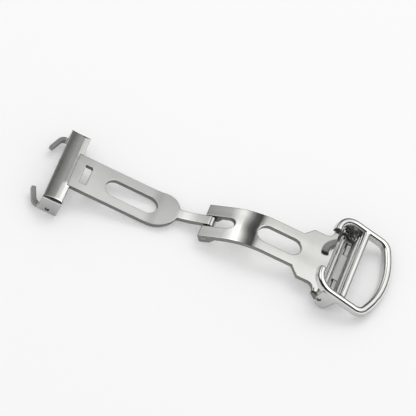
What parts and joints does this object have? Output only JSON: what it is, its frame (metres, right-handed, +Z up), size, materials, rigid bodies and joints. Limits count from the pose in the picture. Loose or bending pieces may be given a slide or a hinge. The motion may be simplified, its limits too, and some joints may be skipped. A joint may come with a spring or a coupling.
{
  "type": "deployant clasp",
  "caption": "Folding watch strap clasp lying open: a bracket with a spring bar, two slotted blades hinged on a pin, and an open buckle frame on a pivot.",
  "frame": {"origin": "middle of the opened clasp's box, on the table that it lies on", "axes": "+X along the clasp from the strap bracket to the buckle frame, +Y across the strap, +Z up"},
  "size_m": [0.0808, 0.022, 0.0083],
  "materials": {
    "satin_steel": "stamped stainless steel sheet with a fine satin finish and broken edges",
    "polished_steel": "polished stainless steel",
    "spring_bar_steel": "drawn stainless steel, plain"
  },
  "bodies": {
    "outer": {"outer_blade": "satin_steel", "fold_pin": "polished_steel", "clamp_pin": "polished_steel"},
    "inner": {"inner_blade": "satin_steel", "strap_bracket": "satin_steel", "spring_bar_tube": "spring_bar_steel", "spring_bar_coil": "spring_bar_steel"},
    "tip_near": {"spring_bar_tip_near": "polished_steel"},
    "tip_far": {"spring_bar_tip_far": "polished_steel"},
    "pivot": {"frame_pivot_pin": "polished_steel"},
    "frame": {"buckle_frame": "polished_steel", "strap_bar": "polished_steel"},
    "clamp": {"clamp_channel": "satin_steel"}
  },
  "joints": [
    {"name": "fold_hinge", "type": "hinge", "parent": "outer", "child": "inner", "pos_m": [-0.0009, 0, 0.0023], "axis": [0, -1, 0], "range_deg": [0, 180]},
    {"name": "frame_tilt", "type": "hinge", "parent": "outer", "child": "pivot", "pos_m": [0.02765, 0, 0.00323], "axis": [0, -1, 0], "range_deg": [0, 14.4]},
    {"name": "frame_lift", "type": "hinge", "parent": "pivot", "child": "frame", "pos_m": [0.02765, 0, 0.00323], "axis": [0, -1, 0], "range_deg": [0, 35]},
    {"name": "clamp_rock", "type": "hinge", "parent": "outer", "child": "clamp", "pos_m": [0.02853, 0, 0.00166], "axis": [0, 1, 0], "range_deg": [0, 12]},
    {"name": "near_tip_press", "type": "slide", "parent": "inner", "child": "tip_near", "axis": [0, 1, 0], "range_m": [0, 0.001], "stiffness_N_per_m": 600, "springref_m": -0.001, "deforming": ["spring_bar_coil"]},
    {"name": "far_tip_press", "type": "slide", "parent": "inner", "child": "tip_far", "axis": [0, -1, 0], "range_m": [0, 0.001], "stiffness_N_per_m": 600, "springref_m": -0.001, "deforming": ["spring_bar_coil"]}
  ],
  "couplings": [
    {"joint": "frame_tilt", "follows": "fold_hinge", "ratio": 0.08}
  ]
}
